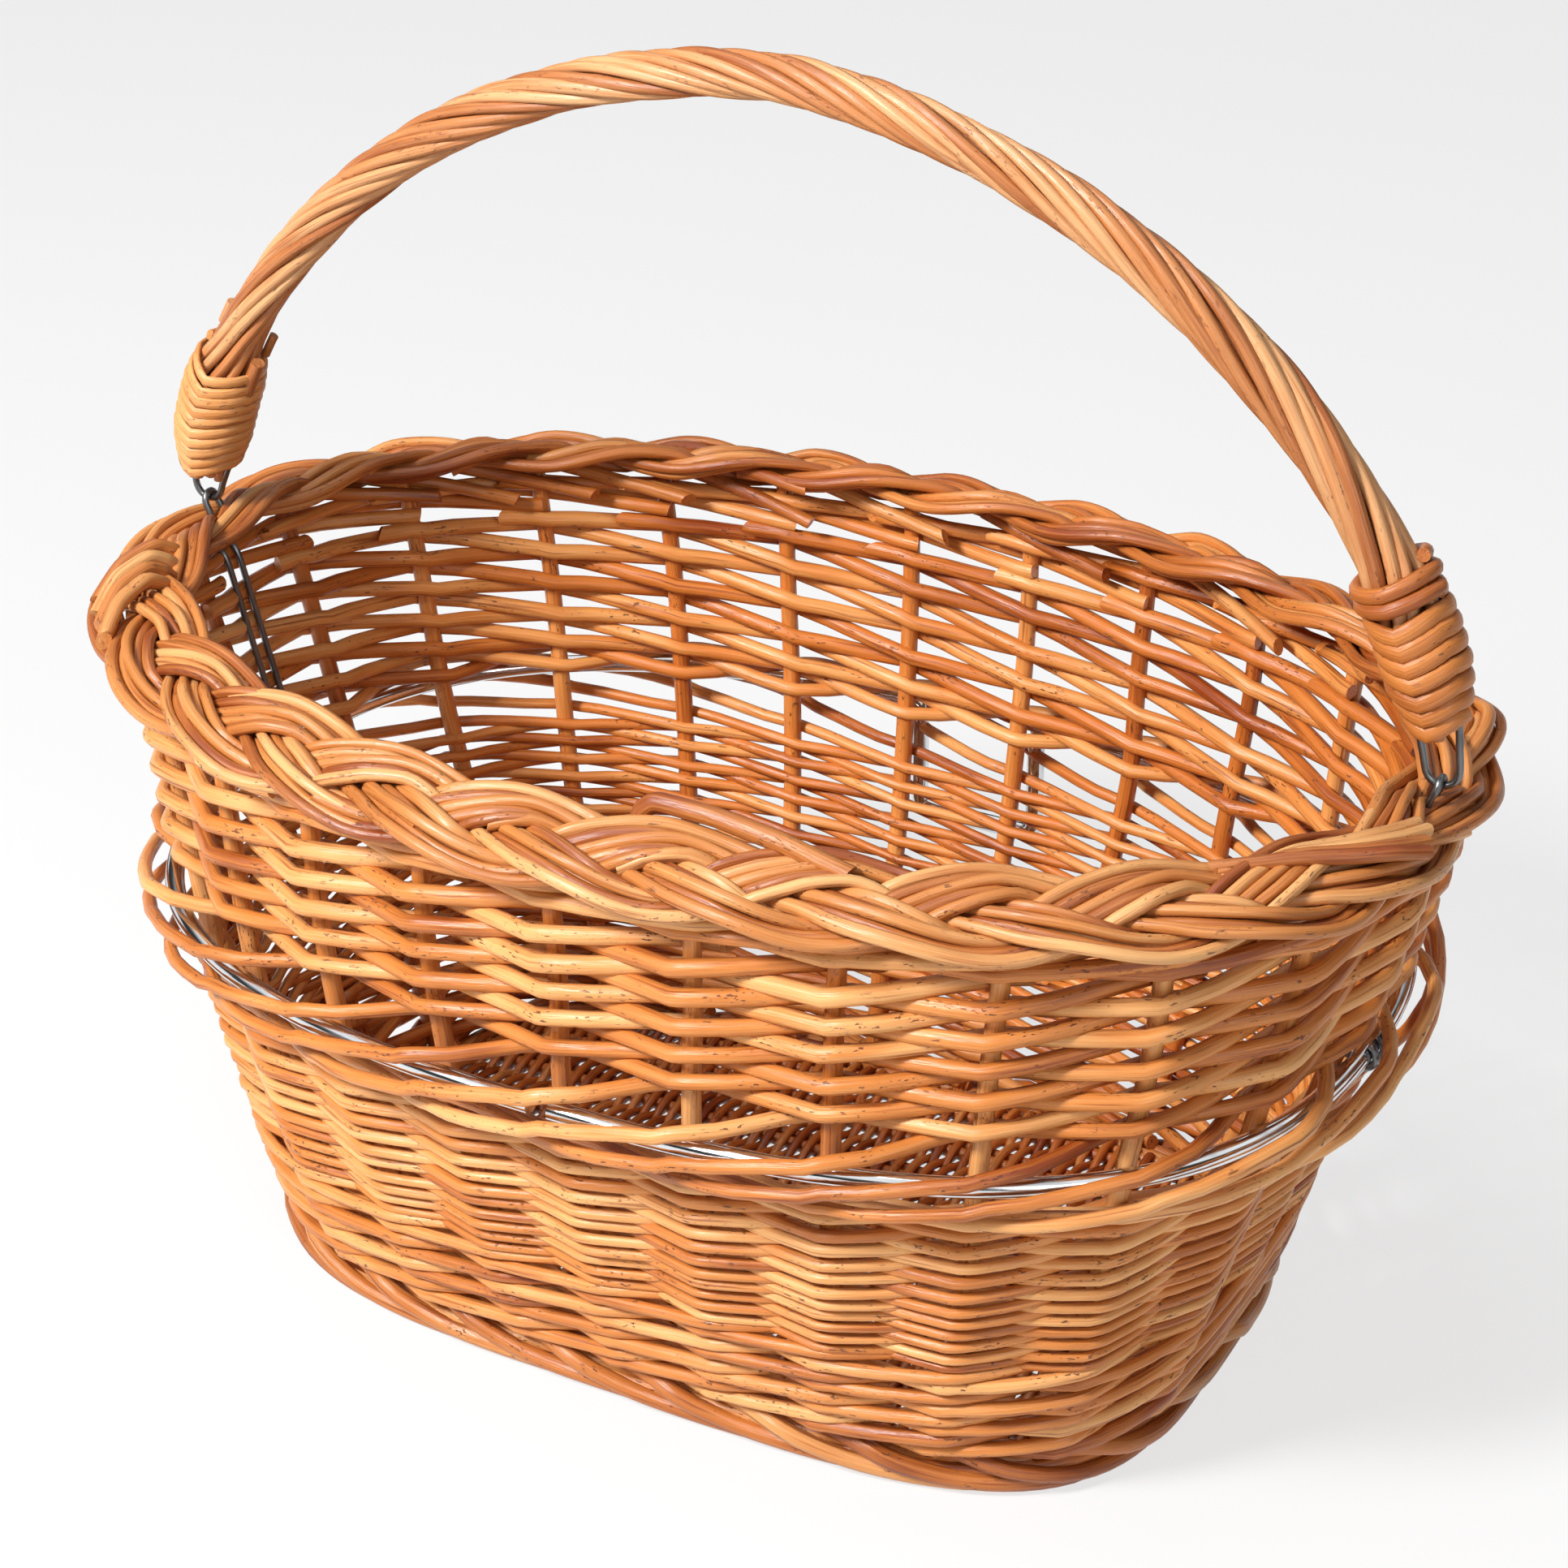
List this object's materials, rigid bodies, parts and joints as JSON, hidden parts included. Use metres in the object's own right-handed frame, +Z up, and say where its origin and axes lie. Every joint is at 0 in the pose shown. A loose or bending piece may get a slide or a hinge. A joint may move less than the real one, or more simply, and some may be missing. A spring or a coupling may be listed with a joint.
{
  "type": "wicker bicycle basket",
  "caption": "Oval flared willow basket woven on upright stakes, with a plaited rim, a twisted arch handle that swings on wire eyes, and a chrome carrier ring with a hanging bracket.",
  "frame": {"origin": "middle of the basket's foot, on the surface that it stands on", "axes": "+X along the basket's length to the right handle eye, +Y to the side that hangs on the bicycle, +Z up"},
  "size_m": [0.4142, 0.2746, 0.3579],
  "materials": {
    "willow": "boiled willow rod, satin",
    "willow_pale": "lighter willow rod, satin",
    "willow_dark": "darker willow rod, satin",
    "willow_skein": "split willow skein, satin",
    "ring_chrome": "bright plated rod",
    "steel_wire": "dull dark wire"
  },
  "bodies": {
    "basket": {"foot_border": "willow_dark", "base_mat": "willow_dark", "stake_01": "willow", "stake_02": "willow", "stake_03": "willow", "stake_04": "willow", "stake_05": "willow", "stake_06": "willow", "stake_07": "willow", "stake_08": "willow", "stake_09": "willow", "stake_10": "willow", "stake_11": "willow", "stake_12": "willow", "stake_13": "willow", "stake_14": "willow", "stake_15": "willow", "stake_16": "willow", "stake_17": "willow", "stake_18": "willow", "stake_19": "willow", "stake_20": "willow", "stake_21": "willow", "stake_22": "willow", "stake_23": "willow", "stake_24": "willow", "stake_25": "willow", "bottom_wale": "willow", "lower_siding": "willow_pale", "carrier_ring": "ring_chrome", "ring_wale": "willow_pale", "upper_siding": "willow", "top_wale": "willow_pale", "border_strand_1": "willow_pale", "border_strand_2": "willow_pale", "border_strand_3": "willow_pale", "link_left": "steel_wire", "link_right": "steel_wire"},
    "handle": {"handle": "willow", "handle_binding_left": "willow_skein", "handle_binding_right": "willow_skein", "handle_eye_left": "steel_wire", "handle_eye_right": "steel_wire"}
  },
  "joints": [
    {"name": "handle_swing", "type": "hinge", "parent": "basket", "child": "handle", "pos_m": [0, 0, 0.197], "axis": [1, 0, 0], "range_deg": [-60, 60]}
  ]
}
